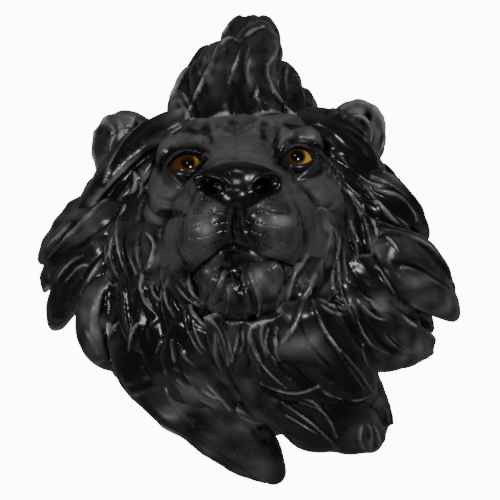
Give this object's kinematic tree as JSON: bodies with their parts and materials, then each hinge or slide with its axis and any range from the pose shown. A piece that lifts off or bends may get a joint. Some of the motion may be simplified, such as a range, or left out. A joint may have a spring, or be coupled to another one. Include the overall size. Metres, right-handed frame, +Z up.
{
  "type": "lion head wall mask",
  "caption": "Wall-hung lion head mask cast in black-painted resin, with a swept mane, beard, ears and glossy amber glass eyes.",
  "frame": {"origin": "on the flat back, at the point of the wall plane behind the bridge of the nose", "axes": "+Z up, +Y into the wall that the back bears on, the face looks along -Y, +X to the right of someone who looks at the face"},
  "size_m": [0.2954, 0.2128, 0.3926],
  "materials": {
    "black_paint": "cast resin under semi-gloss black paint, satin on the forehead and cheeks",
    "amber_glass": "domed glass eye, painted amber and brown behind, with a dark pupil"
  },
  "bodies": {
    "root": {"lion_head": "black_paint", "eye_left": "amber_glass", "eye_right": "amber_glass"}
  },
  "joints": []
}
